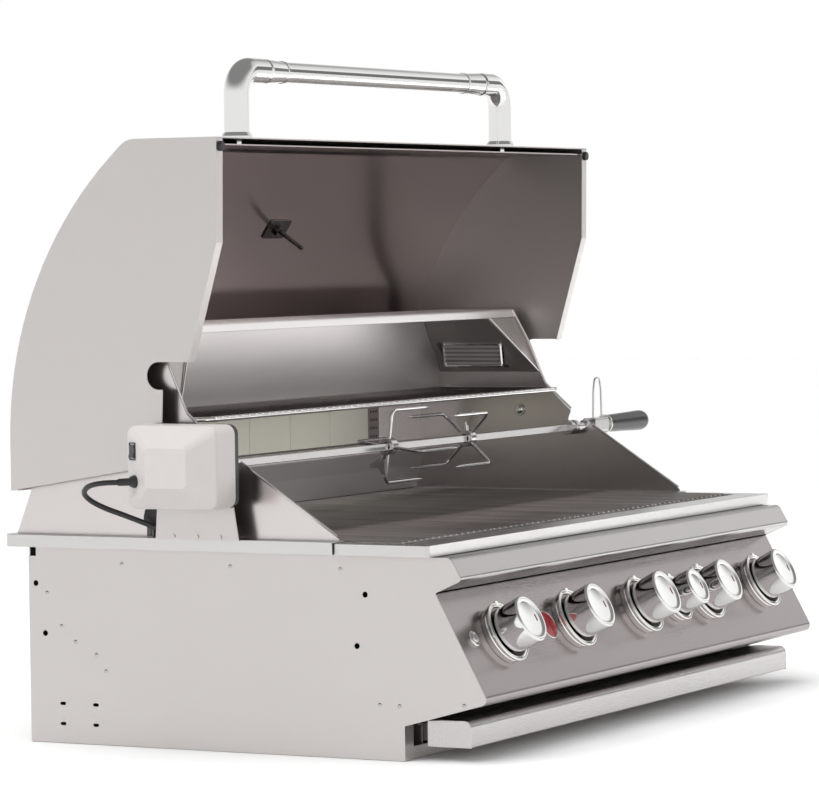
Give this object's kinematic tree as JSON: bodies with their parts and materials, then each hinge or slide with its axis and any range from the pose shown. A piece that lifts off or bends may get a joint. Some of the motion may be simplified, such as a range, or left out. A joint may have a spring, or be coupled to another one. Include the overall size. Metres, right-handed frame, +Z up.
{
  "type": "built in gas grill",
  "caption": "Built in gas grill for an outdoor counter, hood open, with rotisserie, rear burner, knobs, drip tray and motor.",
  "frame": {"origin": "middle of the floor pan's underside, halfway across the width and the depth of the casing", "axes": "+X to the right seen from the front, +Y to the back, +Z up"},
  "size_m": [1.294, 0.6724, 0.8293],
  "materials": {
    "brushed_steel": "brushed stainless steel",
    "dark_steel": "heat darkened polished steel",
    "grate_steel": "polished stainless rod",
    "chrome": "polished",
    "black_steel": "black",
    "aluminium": "plain",
    "brass": "plain",
    "red_enamel": "gloss enamel",
    "ceramic": "matt porous ceramic",
    "lamp_glass": "frosted",
    "white_plastic": "off white moulded plastic",
    "black_plastic": "satin",
    "black_rubber": "matt"
  },
  "bodies": {
    "root": {"side_panel_left": "brushed_steel", "side_panel_right": "brushed_steel", "rear_panel": "brushed_steel", "floor_pan": "brushed_steel", "control_panel": "brushed_steel", "bull_nose": "brushed_steel", "front_trim": "brushed_steel", "counter_flange": "brushed_steel", "wing_left": "brushed_steel", "wing_right": "brushed_steel", "back_cover": "brushed_steel", "back_wall_upper": "brushed_steel", "back_wall_lower": "brushed_steel", "lamp_housings": "brushed_steel", "tray_rails": "brushed_steel", "motor_bracket": "brushed_steel", "firebox": "dark_steel", "rear_burner_housing": "dark_steel", "flame_tamers": "dark_steel", "main_burners": "dark_steel", "rear_burner_tile": "ceramic", "lamp_lenses": "lamp_glass", "cooking_grates": "grate_steel", "warming_rack": "grate_steel", "gas_manifold": "aluminium", "gas_valves": "brass", "supply_pipe": "aluminium", "knob_bezels": "chrome", "badge_disc": "red_enamel", "hinge_pins": "chrome", "motor_gasket": "black_plastic", "motor_housing": "white_plastic", "cord_gland": "black_plastic", "motor_cord": "black_rubber", "cord_coil": "black_rubber", "motor_plug": "black_plastic"},
    "hood": {"hood_skin": "brushed_steel", "hood_liner": "dark_steel", "hood_sides": "brushed_steel", "handle_bar": "chrome", "handle_posts": "chrome", "hood_bumpers": "black_rubber", "thermometer": "black_steel"},
    "drip_tray": {"drip_tray_front": "brushed_steel", "drip_tray_pan": "brushed_steel"},
    "spit": {"spit_rod": "chrome", "spit_collar": "black_steel", "spit_handle": "black_plastic"},
    "motor_drive": {"drive_socket": "chrome"},
    "left_fork": {"fork_left": "chrome"},
    "right_fork": {"fork_right": "chrome"},
    "light_switch": {"light_button": "black_plastic"},
    "motor_switch": {"rocker_switch": "black_plastic"},
    "knob_1_body": {"knob_1": "chrome"},
    "knob_2_body": {"knob_2": "chrome"},
    "knob_3_body": {"knob_3": "chrome"},
    "knob_4_body": {"knob_4": "chrome"},
    "knob_5_body": {"knob_5": "chrome"},
    "knob_6_body": {"knob_6": "chrome"}
  },
  "joints": [
    {"name": "hood_hinge", "type": "hinge", "parent": "root", "child": "hood", "pos_m": [0, 0.07, 0.365], "axis": [1, 0, 0], "range_deg": [0, 91.5]},
    {"name": "drip_tray_slide", "type": "slide", "parent": "root", "child": "drip_tray", "axis": [0, -1, 0], "range_m": [0, 0.4]},
    {"name": "motor_spin", "type": "hinge", "parent": "root", "child": "motor_drive", "pos_m": [-0.52, -0.015, 0.3415], "axis": [1, 0, 0], "continuous": true},
    {"name": "spit_spin", "type": "hinge", "parent": "root", "child": "spit", "pos_m": [0, -0.015, 0.3415], "axis": [1, 0, 0], "continuous": true},
    {"name": "left_fork_slide", "type": "slide", "parent": "spit", "child": "left_fork", "axis": [1, 0, 0], "range_m": [-0.36, 0.05]},
    {"name": "right_fork_slide", "type": "slide", "parent": "spit", "child": "right_fork", "axis": [1, 0, 0], "range_m": [-0.05, 0.27]},
    {"name": "light_button_push", "type": "slide", "parent": "root", "child": "light_switch", "axis": [0, 0.8801, -0.4747], "range_m": [0, 0.003], "stiffness_N_per_m": 600},
    {"name": "motor_switch_rock", "type": "hinge", "parent": "root", "child": "motor_switch", "pos_m": [-0.56204, 0.05684, 0.3605], "axis": [-0.501, -0.8654, 0], "range_deg": [-7, 7]},
    {"name": "knob_1_turn", "type": "hinge", "parent": "root", "child": "knob_1_body", "pos_m": [-0.38098, -0.33176, 0.13911], "axis": [0, 0.8801, -0.4747], "range_deg": [0, 180]},
    {"name": "knob_2_turn", "type": "hinge", "parent": "root", "child": "knob_2_body", "pos_m": [-0.19396, -0.33176, 0.13911], "axis": [0, 0.8801, -0.4747], "range_deg": [0, 180]},
    {"name": "knob_3_turn", "type": "hinge", "parent": "root", "child": "knob_3_body", "pos_m": [0, -0.33176, 0.13911], "axis": [0, 0.8801, -0.4747], "range_deg": [0, 180]},
    {"name": "knob_4_turn", "type": "hinge", "parent": "root", "child": "knob_4_body", "pos_m": [0.09901, -0.33176, 0.13911], "axis": [0, 0.8801, -0.4747], "range_deg": [0, 90]},
    {"name": "knob_5_turn", "type": "hinge", "parent": "root", "child": "knob_5_body", "pos_m": [0.19204, -0.33176, 0.13911], "axis": [0, 0.8801, -0.4747], "range_deg": [0, 180]},
    {"name": "knob_6_turn", "type": "hinge", "parent": "root", "child": "knob_6_body", "pos_m": [0.375, -0.33176, 0.13911], "axis": [0, 0.8801, -0.4747], "range_deg": [0, 180]}
  ],
  "couplings": [
    {"joint": "motor_spin", "follows": "spit_spin", "ratio": 1}
  ]
}
